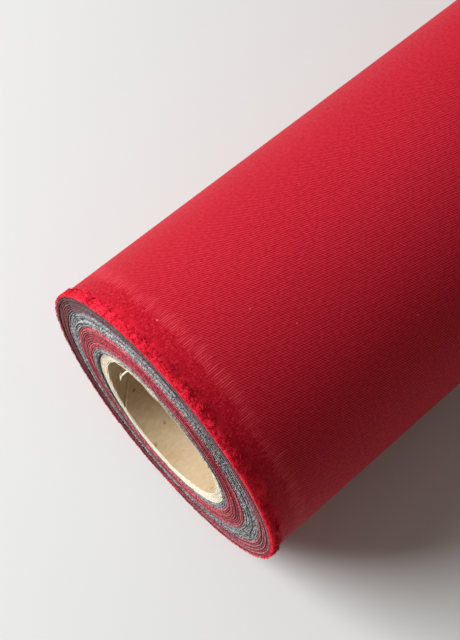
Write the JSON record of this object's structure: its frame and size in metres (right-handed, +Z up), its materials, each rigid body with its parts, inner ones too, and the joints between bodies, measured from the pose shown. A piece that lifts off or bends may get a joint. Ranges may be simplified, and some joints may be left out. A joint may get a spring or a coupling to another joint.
{
  "type": "backdrop cloth roll",
  "caption": "Roll of woven backdrop cloth wound on a cardboard core, with frayed selvedge ends and a loose tail that peels off the roll.",
  "frame": {"origin": "on the core's axis, at the middle of its length", "axes": "+X along the roll towards its far end, +Y to the back where the tail is, +Z up with the roll lying on a table"},
  "size_m": [1.5009, 0.101, 0.1004],
  "materials": {
    "cloth_face": "fine red twill with a soft satin sheen",
    "cloth_back": "matte grey weave, the cloth's back",
    "cloth_fringe": "loose bright red yarn ends",
    "core_kraft": "matte kraft board with small brown flecks",
    "core_face": "smooth ivory paper",
    "start_tape": "double-sided cloth tape"
  },
  "bodies": {
    "roll": {"core_liner_ply": "core_kraft", "core_ply_2": "core_kraft", "core_ply_3": "core_kraft", "core_ply_4": "core_kraft", "core_ply_5": "core_kraft", "core_ply_6": "core_kraft", "core_face_ply": "core_face", "start_tape": "start_tape", "first_turn": "cloth_back", "turns_2_to_4": "cloth_back", "turns_5_to_12": "cloth_face", "turns_13_to_19": "cloth_back", "turns_20_to_25": "cloth_back", "turns_26_to_29": "cloth_face", "last_turn": "cloth_face", "near_selvedge": "cloth_face", "far_selvedge": "cloth_face", "near_fringe": "cloth_fringe", "far_fringe": "cloth_fringe"},
    "tail_1": {"tail_1": "cloth_face"},
    "tail_2": {"tail_2": "cloth_face"},
    "tail_3": {"tail_3": "cloth_face"},
    "tail_4": {"tail_4": "cloth_face"},
    "tail_5": {"tail_5": "cloth_face"},
    "tail_6": {"tail_6": "cloth_face"}
  },
  "joints": [
    {"name": "tail_peel_1", "type": "hinge", "parent": "roll", "child": "tail_1", "pos_m": [0, 0.04373, 0.02525], "axis": [1, 0, 0], "range_deg": [0, 15]},
    {"name": "tail_peel_2", "type": "hinge", "parent": "tail_1", "child": "tail_2", "pos_m": [0, 0.04878, 0.01307], "axis": [1, 0, 0], "range_deg": [0, 15]},
    {"name": "tail_peel_3", "type": "hinge", "parent": "tail_2", "child": "tail_3", "pos_m": [0, 0.0505, 0], "axis": [1, 0, 0], "range_deg": [0, 15]},
    {"name": "tail_peel_4", "type": "hinge", "parent": "tail_3", "child": "tail_4", "pos_m": [0, 0.04878, -0.01307], "axis": [1, 0, 0], "range_deg": [0, 15]},
    {"name": "tail_peel_5", "type": "hinge", "parent": "tail_4", "child": "tail_5", "pos_m": [0, 0.04373, -0.02525], "axis": [1, 0, 0], "range_deg": [0, 15]},
    {"name": "tail_peel_6", "type": "hinge", "parent": "tail_5", "child": "tail_6", "pos_m": [0, 0.03571, -0.03571], "axis": [1, 0, 0], "range_deg": [0, 15]}
  ],
  "couplings": [
    {"joint": "tail_peel_2", "follows": "tail_peel_1", "ratio": 1},
    {"joint": "tail_peel_3", "follows": "tail_peel_1", "ratio": 1},
    {"joint": "tail_peel_4", "follows": "tail_peel_1", "ratio": 1},
    {"joint": "tail_peel_5", "follows": "tail_peel_1", "ratio": 1},
    {"joint": "tail_peel_6", "follows": "tail_peel_1", "ratio": 1}
  ]
}
